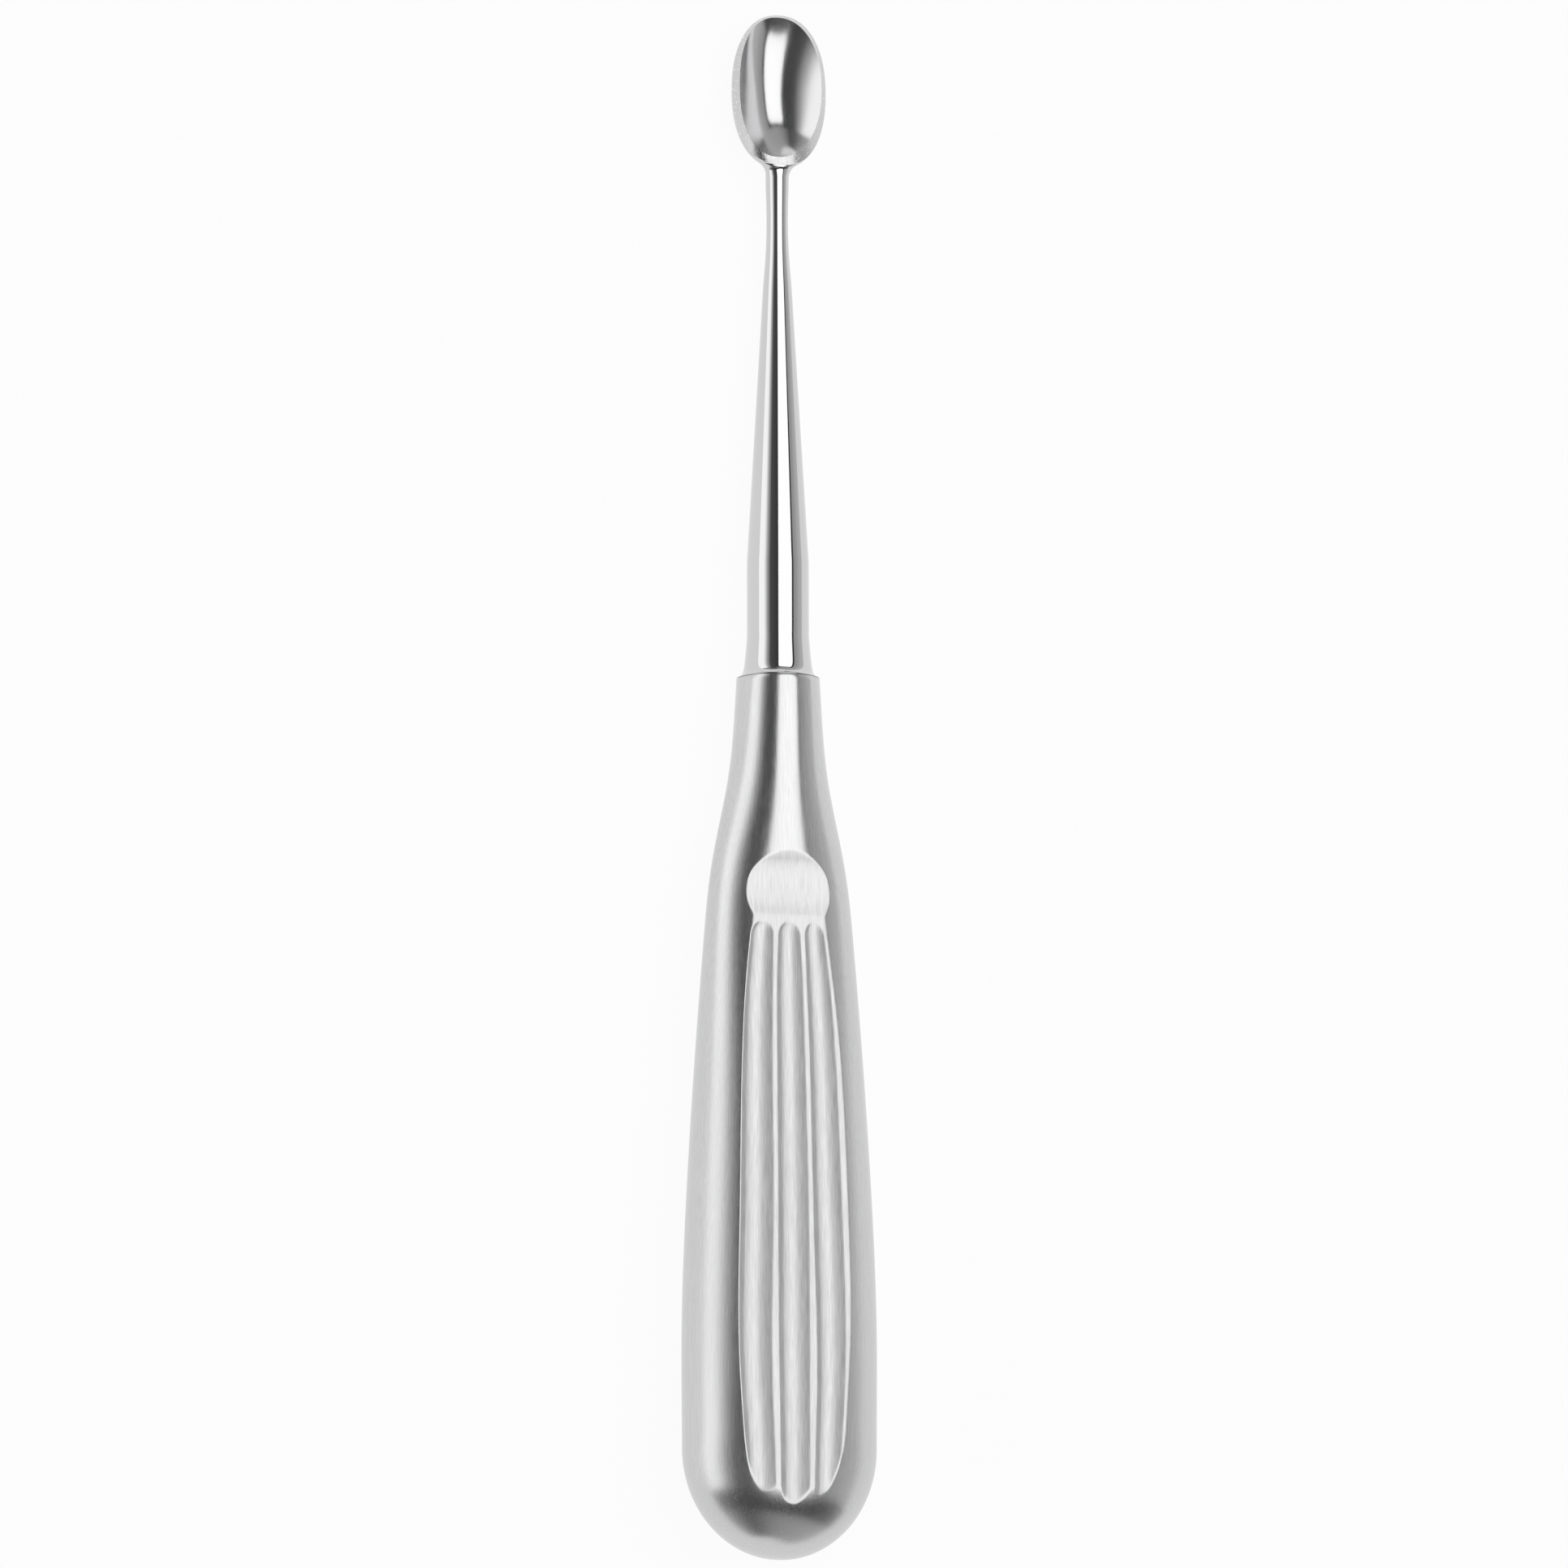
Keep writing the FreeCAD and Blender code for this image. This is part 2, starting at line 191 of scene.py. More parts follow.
# Hollow: a paraboloid whose rim and floor lie a little aside, and that is twisted a little
HOLLOW_STATION = 161.68
HOLLOW_HALF_LENGTH = 7.78
HOLLOW_HALF_WIDTH = 4.66
HOLLOW_POWER = 2.25
RIM_ASIDE = -0.12
FLOOR_ASIDE = -0.42
FLOOR_ALONG = -0.45
HOLLOW_DEPTH = 2.8
HOLLOW_TWIST = 0.008
# Fillet between the slim neck and the cup's heel, and how far it runs on inside the cup's wall
HEEL_FILLET = 1.6
BLEND_RINGS = 14
BLEND_RUN_ON = 0.5
SEARCH_STEPS = 40
SLOPE_NUDGE = 1e-4
CUP_COLUMNS = 224
HOLLOW_RINGS = 84
OUTSIDE_RINGS = 92
POLE_TURN = 0.012

# The instrument's own axes, read from the clip mount on its parallel shaft
clip = next(mount for mount in frame["record"]["mounts"] if mount["name"] == "shaft_clip")
AXIS = Vector(clip["axis"]).normalized()
ACROSS = Vector((1, 0, 0))
UP = ACROSS.cross(AXIS)
BUTT = Vector(clip["pos_m"]) - AXIS * ((CLIP_STATION - INSET) * MM) + UP * (INSET * MM)


def to_frame(points):
    """Instrument points (across, station, height) in millimetres as frame points in metres."""
    basis = np.array([ACROSS, AXIS, UP])
    return np.array(BUTT) + np.asarray(points, float).reshape(-1, 3) @ basis * MM


def smooth_curve(points, end_slope=0.0, start_slope=0.0):
    """Cubic spline through points that runs straight on beyond its ends."""
    x, y = (np.array(column, float) for column in zip(*points))
    gap = np.diff(x)
    rise = np.diff(y) / gap
    count = len(x)
    matrix = np.zeros((count, count))
    right = np.zeros(count)
    matrix[0, 0] = 1.0
    matrix[-1, -1] = 1.0
    right[0] = start_slope
    right[-1] = end_slope
    for i in range(1, count - 1):
        matrix[i, i - 1 : i + 2] = gap[i], 2 * (gap[i - 1] + gap[i]), gap[i - 1]
        right[i] = 3 * (gap[i] * rise[i - 1] + gap[i - 1] * rise[i])
    slope = np.linalg.solve(matrix, right)

    def at(place):
        value = np.clip(place, x[0], x[-1])
        beyond = np.where(place < x[0], start_slope, end_slope) * (place - value)
        i = np.clip(np.searchsorted(x, value, side="right") - 1, 0, count - 2)
        t = (value - x[i]) / gap[i]
        keep = 2 * t**3 - 3 * t**2 + 1
        return (
            beyond
            + keep * y[i]
            + (1 - keep) * y[i + 1]
            + (t**3 - 2 * t**2 + t) * gap[i] * slope[i]
            + (t**3 - t**2) * gap[i] * slope[i + 1]
        )

    return at


def soft_min(first, second, softness):
    """The lower of two heights, with the crease between them rounded."""
    near = np.maximum(softness - np.abs(first - second), 0) / softness
    return np.minimum(first, second) - near**2 * softness / 4


def grid_faces(rows, columns, start=0, flip=False):
    """Quads of a grid whose columns close on themselves."""
    faces = []
    for row in range(rows - 1):
        here = start + row * columns
        there = here + columns
        for column in range(columns):
            beside = (column + 1) % columns
            face = (here + column, here + beside, there + beside, there + column)
            faces.append(face[::-1] if flip else face)
    return faces


def cap_faces(first, columns, pole, flip=False):
    """Triangles from one ring to a pole."""
    faces = []
    for column in range(columns):
        face = (first + column, first + (column + 1) % columns, pole)
        faces.append(face[::-1] if flip else face)
    return faces


def make_object(name, points, faces, node, materials, indices=None, worked=None):
    """Mesh object in the frame that stands for a node and takes its place."""
    mesh = bpy.data.meshes.new(name)
    mesh.from_pydata(to_frame(points).tolist(), [], faces)
    mesh.validate()
    mesh.polygons.foreach_set("use_smooth", [True] * len(mesh.polygons))
    for material in materials:
        mesh.materials.append(material)
    if indices is not None:
        mesh.polygons.foreach_set("material_index", indices)
    if worked is not None:
        mesh.attributes.new("worked", "FLOAT", "POINT").data.foreach_set("value", worked)
    mesh.set_sharp_from_angle(angle=math.radians(SHARP_DEG))
    piece = bpy.data.objects.new(name, mesh)
    bpy.context.scene.collection.objects.link(piece)
    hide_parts(node)
    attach(piece, "root")


# Handle

stations, thicknesses, spreads = zip(*GRIP_SECTIONS)
last_gap = stations[-1] - stations[-2]
half_thickness = smooth_curve([(s, t / 2) for s, t in zip(stations, thicknesses)])
half_width = smooth_curve(
    [(s, (t + w) / 2 - INSET) for s, t, w in zip(stations, thicknesses, spreads)],
    -(spreads[-2] - spreads[-1]) / 2 / last_gap,
)
panel_height = smooth_curve(PANEL_PROFILE, PANEL_END_SLOPE)
flute_pitch = smooth_curve(FLUTE_PITCH, PITCH_END_SLOPE)
middle_flute = smooth_curve(MIDDLE_FLUTE, FLUTE_END_SLOPE)
outer_flute = smooth_curve(OUTER_FLUTE, FLUTE_END_SLOPE)
thumb_rest = smooth_curve(REST_PROFILE, REST_SLOPES[1], REST_SLOPES[0])


def dome_share(station, length=DOME_LENGTH):
    """Share of the full section that the rounded butt end has."""
    back = np.clip((length - station) / length, 0, 1)
    return np.sqrt(1 - back**2)


def fluted_panel(across, station):
    """Height of the panel with its three flutes."""
    panel = panel_height(station)
    start, end = FLUTE_NOSE
    closing = np.clip((station - start) / (end - start), 0, 1)
    nose = np.sqrt(np.clip(1 - closing**2, LEAST_NOSE, 1))
    height = panel
    for side in (-1, 0, 1):
        wide = LEFT_WIDENING / 2 if side < 0 else 0
        reach = ((outer_flute(station) if side else middle_flute(station)) + wide) * nose
        offset = (across - side * flute_pitch(station) + wide) / reach
        floor = FLUTE_LEAN * (1 - offset) + FLUTE_STEEPNESS / 2 * (1 - offset**2)
        wall = FLUTE_WALL * (1 + offset)
        back = FLUTE_BACK * (1 - offset)
        depth = reach * nose * soft_min(soft_min(floor, wall, FLUTE_CORNER), back, FLUTE_CORNER)
        height = soft_min(height, panel - depth, RIDGE_SOFTNESS)
    return height


def handle_rows():
    """Stations of the handle's rings, closer where the form changes fast."""
    rest_start, rest_end, rest_spacing = REST_ROWS
    dome = DOME_LENGTH * (1 - np.cos(np.linspace(DOME_FIRST_TURN, math.pi / 2, DOME_RINGS)))
    body = np.arange(BODY_START, rest_start, BODY_SPACING)
    rest = np.arange(rest_start, rest_end, rest_spacing)
    neck = np.linspace(rest_end, HANDLE_LENGTH - SEAM_CHAMFER, NECK_RINGS)
    return np.concatenate([dome, body, rest, neck])


def handle_columns():
    """Angles round the section from the left edge over the top, then back underneath."""
    top = np.radians(np.linspace(-TOP_DEG, TOP_DEG, TOP_COLUMNS))
    side = np.radians(np.linspace(TOP_DEG, 90, SIDE_COLUMNS))[1:]
    below = np.radians(np.linspace(90, 270, BACK_COLUMNS))[1:-1]
    return np.concatenate([-side[::-1], top, side, below])


def make_handle(material):
    """Grip with its panel, flutes and thumb rest, closed at the neck by the bore."""
    rows = handle_rows()
    angles = handle_columns()
    station, angle = np.meshgrid(rows, angles, indexing="ij")
    share = dome_share(station)
    across = half_width(station) * share * np.sin(angle)
    top = np.cos(angle) > 0
    crest = 1 + CREST_SHARPNESS * np.exp(-(((station - CREST_STATION) / CREST_REACH) ** 2))
    top_share = dome_share(station, TOP_DOME_LENGTH)
    over = half_thickness(station) * top_share * np.abs(np.cos(angle)) ** crest
    height = np.where(top, over, half_thickness(station) * share * np.cos(angle))
    panel = np.where(station < REST_STATION, fluted_panel(across, station), CLEAR_HEIGHT)
    carved = soft_min(height, panel, PANEL_SOFTNESS)
    carved = soft_min(carved, thumb_rest(station), REST_SOFTNESS)
    worked = np.where(top, np.clip((height - carved) / FINISH_EDGE, 0, 1), 0)
    height = np.where(top, carved, height)
    rings = [np.stack([across, station, height], axis=-1)]
    # Chamfered end face and blind bore
    for at, radius in (
        (HANDLE_LENGTH, NECK_RADIUS - SEAM_CHAMFER),
        (HANDLE_LENGTH, BORE_RADIUS),
        (BORE_END, BORE_RADIUS),
    ):
        level = np.full_like(angles, at)
        ring = np.stack([radius * np.sin(angles), level, radius * np.cos(angles)], axis=-1)
        rings.append(ring[None])
    grid = np.concatenate(rings)
    points = grid.reshape(-1, 3)
    count = len(points)
    columns = len(angles)
    points = np.concatenate([points, [[0, 0, 0], [0, BORE_END, 0]]])
    faces = grid_faces(len(grid), columns)
    faces += cap_faces(0, columns, count, flip=True)
    faces += cap_faces(count - columns, columns, count + 1)
    worked = np.concatenate([worked.ravel(), np.zeros(len(points) - worked.size)])
    make_object("satin_handle", points, faces, "handle", [material], worked=worked)


# Shaft and cup

def shaft_profile():
    """Station and radius from the tang to the slim neck."""
    points = [
        (TANG_START, TANG_TIP_RADIUS),
        (TANG_START + TANG_CHAMFER, TANG_RADIUS),
        (HANDLE_LENGTH, TANG_RADIUS),
        (HANDLE_LENGTH, NECK_RADIUS - SEAM_CHAMFER),
        (HANDLE_LENGTH + SEAM_CHAMFER, NECK_RADIUS),
    ]
    for share in np.linspace(FLARE_FIRST_SHARE, 1, FLARE_RINGS) ** 2:
        station = FLARE_START + (FLARE_END - FLARE_START) * share
        left = (FLARE_END - station) / (FLARE_END - HANDLE_LENGTH)
        long_flare = LONG_FLARE * left**LONG_FLARE_POWER
        short_flare = SHORT_FLARE * math.exp(-(station - HANDLE_LENGTH) / SHORT_FLARE_REACH)
        points.append((station, SHAFT_RADIUS + long_flare + short_flare))
    for station in np.linspace(FLARE_END + PARALLEL_GAP, PARALLEL_END, PARALLEL_RINGS):
        points.append((station, SHAFT_RADIUS))
    taper = (WAIST_PROFILE[0][1] - SHAFT_RADIUS) / (WAIST_PROFILE[0][0] - PARALLEL_END)
    waist = smooth_curve(WAIST_PROFILE, WAIST_END_SLOPE, taper)
    for station in np.linspace(PARALLEL_END, WAIST_PROFILE[-1][0], TAPER_RINGS)[1:]:
        points.append((station, float(waist(station))))
    return points


def oval(angle, half_across, half_along, power):
    """Point of an oval; the angle starts at the tip and turns to the right."""
    sine, cosine = np.sin(angle), np.cos(angle)
    across = half_across * np.sign(sine) * np.abs(sine) ** (2 / power)
    along = half_along * np.sign(cosine) * np.abs(cosine) ** (2 / power)
    return across, along


def cup_heel(direction, reach):
    """Distance along the axis from the cup's centre to its heel, at a reach from the shaft's axis."""
    across = reach * math.sin(direction)
    height = reach * math.cos(direction) - CUP_LIFT
    level = max(1 - (height / CUP_DEPTH) ** 2, 0.0) ** (OVAL_POWER / 2)
    room = max(level - abs(across / CUP_HALF_WIDTH) ** OVAL_POWER, 0.0)
    return -CUP_HALF_LENGTH * room ** (1 / OVAL_POWER)


def heel_blend(direction):
    """Fillet from the slim neck to the cup's heel in one direction, as reach and station."""

    def slope(reach):
        rise = cup_heel(direction, reach + SLOPE_NUDGE) - cup_heel(direction, reach - SLOPE_NUDGE)
        return rise / (2 * SLOPE_NUDGE)

    low, high = SLIM_RADIUS, SLIM_RADIUS + HEEL_FILLET
    for _ in range(SEARCH_STEPS):
        reach = (low + high) / 2
        lean = slope(reach)
        if reach + HEEL_FILLET * lean / math.hypot(1, lean) < SLIM_RADIUS + HEEL_FILLET:
            low = reach
        else:
            high = reach
    lean = slope(reach)
    back = HEEL_FILLET / math.hypot(1, lean)
    centre = CUP_STATION + cup_heel(direction, reach) - back
    sweep = math.atan2(back, HEEL_FILLET * lean / math.hypot(1, lean))
    blend = []
    for turn in np.linspace(0, sweep, BLEND_RINGS):
        out = SLIM_RADIUS + HEEL_FILLET * (1 - math.cos(turn))
        blend.append((out, centre + HEEL_FILLET * math.sin(turn)))
    blend.append((reach, blend[-1][1] + BLEND_RUN_ON))
    return blend


def make_rod():
    """Rings of the shaft with the blend at its end, closed inside the cup's wall."""
    angles = np.linspace(0, 2 * math.pi, ROD_COLUMNS, endpoint=False)
    rings = []
    for station, radius in shaft_profile():
        rings.append([(radius * math.sin(a), station, radius * math.cos(a)) for a in angles])
    blends = [heel_blend(a) for a in angles]
    for step in range(len(blends[0])):
        ring = []
        for angle, blend in zip(angles, blends):
            reach, station = blend[step]
            across, height = reach * math.sin(angle), reach * math.cos(angle)
            height = min(height, HEEL_BEVEL_FOOT - WEB_FALL * across**2) if height > 0 else height
            ring.append((across, station, height))
        rings.append(ring)
    points = [point for ring in rings for point in ring]
    ends = [(0, TANG_START, 0), (0, rings[-1][0][1], 0)]
    faces = grid_faces(len(rings), ROD_COLUMNS)
    count = len(points)
    faces += cap_faces(0, ROD_COLUMNS, count, flip=True)
    faces += cap_faces(count - ROD_COLUMNS, ROD_COLUMNS, count + 1)
    return points + ends, faces


def make_cup(start):
    """Rings of the cup from the bottom of the hollow over the rim to the bottom outside."""
    columns = CUP_COLUMNS
    angles = np.linspace(0, 2 * math.pi, columns, endpoint=False)
    rings = []
    groups = []

    def add(half_across, half_along, height, centre, power, group, aside=0.0):
        across, along = oval(angles, half_across, half_along, power)
        rings.append(np.stack([across + aside, along + centre, height + 0 * angles], axis=-1))
        groups.append(group)

    for share in np.sin(np.linspace(POLE_TURN, math.pi / 2, HOLLOW_RINGS)):
        power = 2 + (HOLLOW_POWER - 2) * share
        aside = FLOOR_ASIDE + (RIM_ASIDE - FLOOR_ASIDE) * (share * np.sin(angles)) ** 2
        centre = HOLLOW_STATION + FLOOR_ALONG * (1 - share**2)
        across, along = oval(angles, HOLLOW_HALF_WIDTH * share, HOLLOW_HALF_LENGTH * share, power)
        twist = HOLLOW_TWIST * across * along * (1 - share**4)
        height = RIM_HEIGHT - HOLLOW_DEPTH * (1 - share**2) + twist
        add(HOLLOW_HALF_WIDTH * share, HOLLOW_HALF_LENGTH * share, height, centre, power, 1, aside)
    # Bevel that slopes outwards from the cutting edge
    across, along = oval(angles, CUP_HALF_WIDTH, CUP_HALF_LENGTH, OVAL_POWER)
    heel = np.where(along < 0, np.exp(-((across / HEEL_BEVEL_REACH) ** 4)), 0)
    foot = BEVEL_FOOT + (HEEL_BEVEL_FOOT - BEVEL_FOOT) * heel
    wall = np.sqrt(1 - ((foot - CUP_LIFT) / CUP_DEPTH) ** 2)
    for share in BEVEL_SHARES:
        half_across = HOLLOW_HALF_WIDTH + (CUP_HALF_WIDTH * wall - HOLLOW_HALF_WIDTH) * share
        half_along = HOLLOW_HALF_LENGTH + (CUP_HALF_LENGTH * wall - HOLLOW_HALF_LENGTH) * share
        centre = HOLLOW_STATION + (CUP_STATION - HOLLOW_STATION) * share
        power = HOLLOW_POWER + (OVAL_POWER - HOLLOW_POWER) * share
        height = RIM_HEIGHT + (foot - RIM_HEIGHT) * share
        add(half_across, half_along, height, centre, power, 2, aside * (1 - share))
    for turn in np.linspace(math.pi / 2, POLE_TURN, OUTSIDE_RINGS):
        share = math.sin(turn)
        power = 2 + (OVAL_POWER - 2) * share
        height = CUP_LIFT - CUP_DEPTH * math.cos(turn)
        add(CUP_HALF_WIDTH * share, CUP_HALF_LENGTH * share, height, CUP_STATION, power, 0)
    points = np.concatenate(rings)
    count = len(points)
    floor = [FLOOR_ASIDE, HOLLOW_STATION + FLOOR_ALONG, RIM_HEIGHT - HOLLOW_DEPTH]
    poles = [floor, [0, CUP_STATION, CUP_LIFT - CUP_DEPTH]]
    points = np.concatenate([points, poles])
    faces = grid_faces(len(rings), columns, start, flip=True)
    indices = []
    for here, there in zip(groups, groups[1:]):
        indices += [max(here, there) if here else 0] * columns
    faces += cap_faces(start, columns, start + count)
    faces += cap_faces(start + count - columns, columns, start + count + 1, flip=True)
    indices += [1] * columns + [0] * columns
    return points.tolist(), faces, indices


def make_shaft(polished, cup_inside, ground):
    """Tang, shaft and cup as one mesh; the materials' order is the one of the cup's groups."""
    rod_points, rod_faces = make_rod()
    cup_points, cup_faces, cup_indices = make_cup(len(rod_points))
    make_object(
        "polished_shaft",
        rod_points + cup_points,
        rod_faces + cup_faces,
        "curette_shaft",
        [polished, cup_inside, ground],
        [0] * len(rod_faces) + cup_indices,
    )


# Materials

class Nodes:
    """Short names for building a node tree."""

    def __init__(self, name):
        self.material = bpy.data.materials.new(name)
        self.material.use_nodes = True
        self.tree = self.material.node_tree
        self.tree.nodes.clear()
        self.output = self.add("ShaderNodeOutputMaterial")

    def add(self, kind, **settings):
        node = self.tree.nodes.new(kind)
        for name, setting in settings.items():
            setattr(node, name, setting)
        return node

    def link(self, source, target):
        self.tree.links.new(source, target)

    def metal(self):
        shader = self.add("ShaderNodeBsdfPrincipled")
        shader.inputs["Metallic"].default_value = 1.0
        self.link(shader.outputs["BSDF"], self.output.inputs["Surface"])
        return shader

    def noise(self, scale, stretch, detail):
        """Noise over the object's own coordinates, with a share of the scale along each axis."""
        place = self.add("ShaderNodeTexCoord")
        mapping = self.add("ShaderNodeMapping")
        mapping.inputs["Scale"].default_value = [scale * share for share in stretch]
        noise = self.add("ShaderNodeTexNoise")
        noise.inputs["Scale"].default_value = 1.0
        noise.inputs["Detail"].default_value = detail
        self.link(place.outputs["Object"], mapping.inputs["Vector"])
        self.link(mapping.outputs["Vector"], noise.inputs["Vector"])
        return noise.outputs["Fac"]

    def span(self, value, low, high, start=0.0, end=1.0):
        """A value's range from start to end, carried to low to high."""
        node = self.add("ShaderNodeMapRange")
        node.inputs["From Min"].default_value = start
        node.inputs["From Max"].default_value = end
        node.inputs["To Min"].default_value = low
        node.inputs["To Max"].default_value = high
        self.link(value, node.inputs["Value"])
        return node.outputs["Result"]

    def math(self, operation, first, second):
        node = self.add("ShaderNodeMath", operation=operation)
        self.link(first, node.inputs[0])
        if isinstance(second, (int, float)):
            node.inputs[1].default_value = second
        else:
            self.link(second, node.inputs[1])
        return node.outputs[0]

    def mix(self, kind, share, first, second):
        """Blend of two numbers (FLOAT) or of two colours (RGBA)."""
        node = self.add("ShaderNodeMix", data_type=kind)
        ends, result = {"FLOAT": ((2, 3), 0), "RGBA": ((6, 7), 2)}[kind]
        self.link(share, node.inputs["Factor"])
        self.link(first, node.inputs[ends[0]])
        self.link(second, node.inputs[ends[1]])
        return node.outputs[result]

    def ramp(self, value, positions, colors):
        """Colours at positions of a value, blended in between."""
        node = self.add("ShaderNodeValToRGB")
        elements = node.color_ramp.elements
        while len(elements) < len(positions):
            elements.new(0.5)
        for element, position, color in zip(elements, positions, colors):
            element.position = position
            element.color = (*color, 1)
        self.link(value, node.inputs["Fac"])
        return node.outputs["Color"]

    def bump(self, height, distance):
        node = self.add("ShaderNodeBump")
        node.inputs["Strength"].default_value = 1.0
        node.inputs["Distance"].default_value = distance
        self.link(height, node.inputs["Height"])
        return node.outputs["Normal"]


# Satin steel

# The skin's brush marks run along the handle, and the ground places have shorter ones. Each grain is
# a fine and a coarse noise, the fine one with the given share.
SKIN_STRETCH = (1.0, 0.02, 1.0)
WORKED_STRETCH = (1.0, 0.035, 0.16)
FINE_SCALE = 11000.0
FINE_DETAIL = 3.0
COARSE_SCALE = 3000.0
COARSE_DETAIL = 2.0
FINE_SHARE = 0.82
# Range of the grain that its tones span, then its depth in millimetres on the skin and where ground
GRAIN_RANGE = (0.34, 0.66)
GRAIN_DEPTH = (0.0022, 0.0034)
SKIN_TONES = (0.56, 0.63)
WORKED_TONES = (0.53, 0.7)
STEEL_BLUE = 1.008
SATIN_ANISOTROPY = 0.5
# Roughness of the skin at the palm and at the neck, and where along Y
SKIN_ROUGHNESS = (0.25, 0.19)
PALM_TO_NECK = (-0.045, 0.005)
# What the ground finish, the grain and a soft cloud add to it
WORKED_ROUGHNESS = (0.0, 0.13)
GRAIN_ROUGHNESS = (-0.06, 0.06)
CLOUD_ROUGHNESS = (-0.03, 0.03)
SATIN_CLOUD = (160.0, (1, 0.5, 1), 2.0)

# Polished steel on the shaft and in the cup: roughness, and depth of its waves in metres
SHAFT_POLISH = (0.035, 0.0000015)
CUP_POLISH = (0.15, 0.000008)
POLISHED_COLOR = (0.62, 0.62, 0.625)
# Noises of the buffing lines and the waves, and the shares of the roughness that they span
BUFFING = (7000.0, (1, 0.03, 1), 2.0)
BUFFING_SHARES = (0.0, 0.6)
WAVES = (420.0, (1, 0.4, 1), 3.0)
WAVE_SHARES = (0.5, 1.1)

# Ground edge: noise of its specks, the part of it that shows as bright, and their depth in metres
SPECKS = (5000.0, (1, 0.6, 1), 3.0)
SPECK_RANGE = (0.61, 0.7)
SPECK_TONES = (0.6, 0.95)
SPECK_DEPTH = 0.000006
EDGE_ROUGHNESS = (0.2, 0.4)
EDGE_ROUGHNESS_RANGE = (0.3, 0.7)


def satin_steel():
    """Satin steel brushed along the handle, rougher towards the palm and on the ground panel."""
    made = Nodes("satin_steel")
    shader = made.metal()
    shader.inputs["Anisotropic"].default_value = SATIN_ANISOTROPY
    tangent = made.add("ShaderNodeTangent", direction_type="RADIAL", axis="Y")
    made.link(tangent.outputs["Tangent"], shader.inputs["Tangent"])
    worked = made.add("ShaderNodeAttribute", attribute_name="worked").outputs["Fac"]
    brushed = []
    for stretch in (SKIN_STRETCH, WORKED_STRETCH):
        fine = made.noise(FINE_SCALE, stretch, FINE_DETAIL)
        coarse = made.noise(COARSE_SCALE, stretch, COARSE_DETAIL)
        fine_part = made.math("MULTIPLY", fine, FINE_SHARE)
        coarse_part = made.math("MULTIPLY", coarse, 1 - FINE_SHARE)
        brushed.append(made.math("ADD", fine_part, coarse_part))
    grain = made.mix("FLOAT", worked, *brushed)
    cloud = made.noise(*SATIN_CLOUD)
    place = made.add("ShaderNodeTexCoord")
    split = made.add("ShaderNodeSeparateXYZ")
    made.link(place.outputs["Object"], split.inputs["Vector"])
    rough = made.span(split.outputs["Y"], *SKIN_ROUGHNESS, *PALM_TO_NECK)
    spreads = ((worked, WORKED_ROUGHNESS), (grain, GRAIN_ROUGHNESS), (cloud, CLOUD_ROUGHNESS))
    for value, spread in spreads:
        rough = made.math("ADD", rough, made.span(value, *spread))
    made.link(rough, shader.inputs["Roughness"])
    tones = []
    for levels in (SKIN_TONES, WORKED_TONES):
        colors = [(level, level, level * STEEL_BLUE) for level in levels]
        tones.append(made.ramp(grain, GRAIN_RANGE, colors))
    made.link(made.mix("RGBA", worked, *tones), shader.inputs["Base Color"])
    depth = made.math("MULTIPLY", grain, made.span(worked, *GRAIN_DEPTH))
    made.link(made.bump(depth, MM), shader.inputs["Normal"])
    return made.material


def polished_steel(name, roughness, waviness):
    """Mirror-polished steel with the faint lines of its buffing."""
    made = Nodes(name)
    shader = made.metal()
    shader.inputs["Base Color"].default_value = (*POLISHED_COLOR, 1)
    waves = made.noise(*WAVES)
    parts = []
    for value, shares in ((made.noise(*BUFFING), BUFFING_SHARES), (waves, WAVE_SHARES)):
        parts.append(made.span(value, *(roughness * share for share in shares)))
    made.link(made.math("ADD", *parts), shader.inputs["Roughness"])
    made.link(made.bump(waves, waviness), shader.inputs["Normal"])
    return made.material


def ground_steel():
    """Ground cutting edge with small bright specks on it."""
    made = Nodes("ground_steel")
    shader = made.metal()
    specks = made.noise(*SPECKS)
    made.link(made.span(specks, *EDGE_ROUGHNESS, *EDGE_ROUGHNESS_RANGE), shader.inputs["Roughness"])
    colors = [(level, level, level) for level in SPECK_TONES]
    made.link(made.ramp(specks, SPECK_RANGE, colors), shader.inputs["Base Color"])
    made.link(made.bump(specks, SPECK_DEPTH), shader.inputs["Normal"])
    return made.material


make_handle(satin_steel())
make_shaft(
    polished_steel("polished_steel", *SHAFT_POLISH),
    polished_steel("cup_polish", *CUP_POLISH),
    ground_steel(),
)

# Studio

# Each tent is a half tube over the instrument, in metres, with strips of light and shade along it, given
# as angles from overhead, positive to the right, and strengths there. The darker butt tent shows past
# the near one's end at the butt, and the far one past both. The camera sees neither tents nor lamp.
NEAR_TENT = {
    "radius": 0.72,
    "ends": (-0.46, 0.95),
    "strips": [
        (-90, 1.46),
        (-68, 1.4),
        (-56, 0.55),
        (-44, 0.1),
        (-14, 0.05),
        (43.9, 0.05),
        (44.1, 0.4),
        (55, 0.45),
        (68, 0.58),
        (83, 0.66),
        (84, 0.95),
        (90, 0.95),
    ],
}
BUTT_TENT = {
    "radius": 0.74,
    "ends": (-0.82, 0.9),
    "strips": [
        (-90, 0.4),
        (-68, 0.2),
        (-50, 0.08),
        (-14, 0.04),
        (44, 0.05),
        (62, 0.12),
        (80, 0.28),
        (90, 0.6),
    ],
}
FAR_TENT = {
    "radius": 0.76,
    "ends": (-3.6, 3.6),
    "strips": [
        (-90, 0.55),
        (-68, 0.36),
        (-50, 0.16),
        (-30, 0.1),
        (-14, 0.3),
        (10, 0.42),
        (60, 0.5),
        (83, 0.6),
        (90, 0.95),
    ],
}
LAMP_RADIUS = 0.6
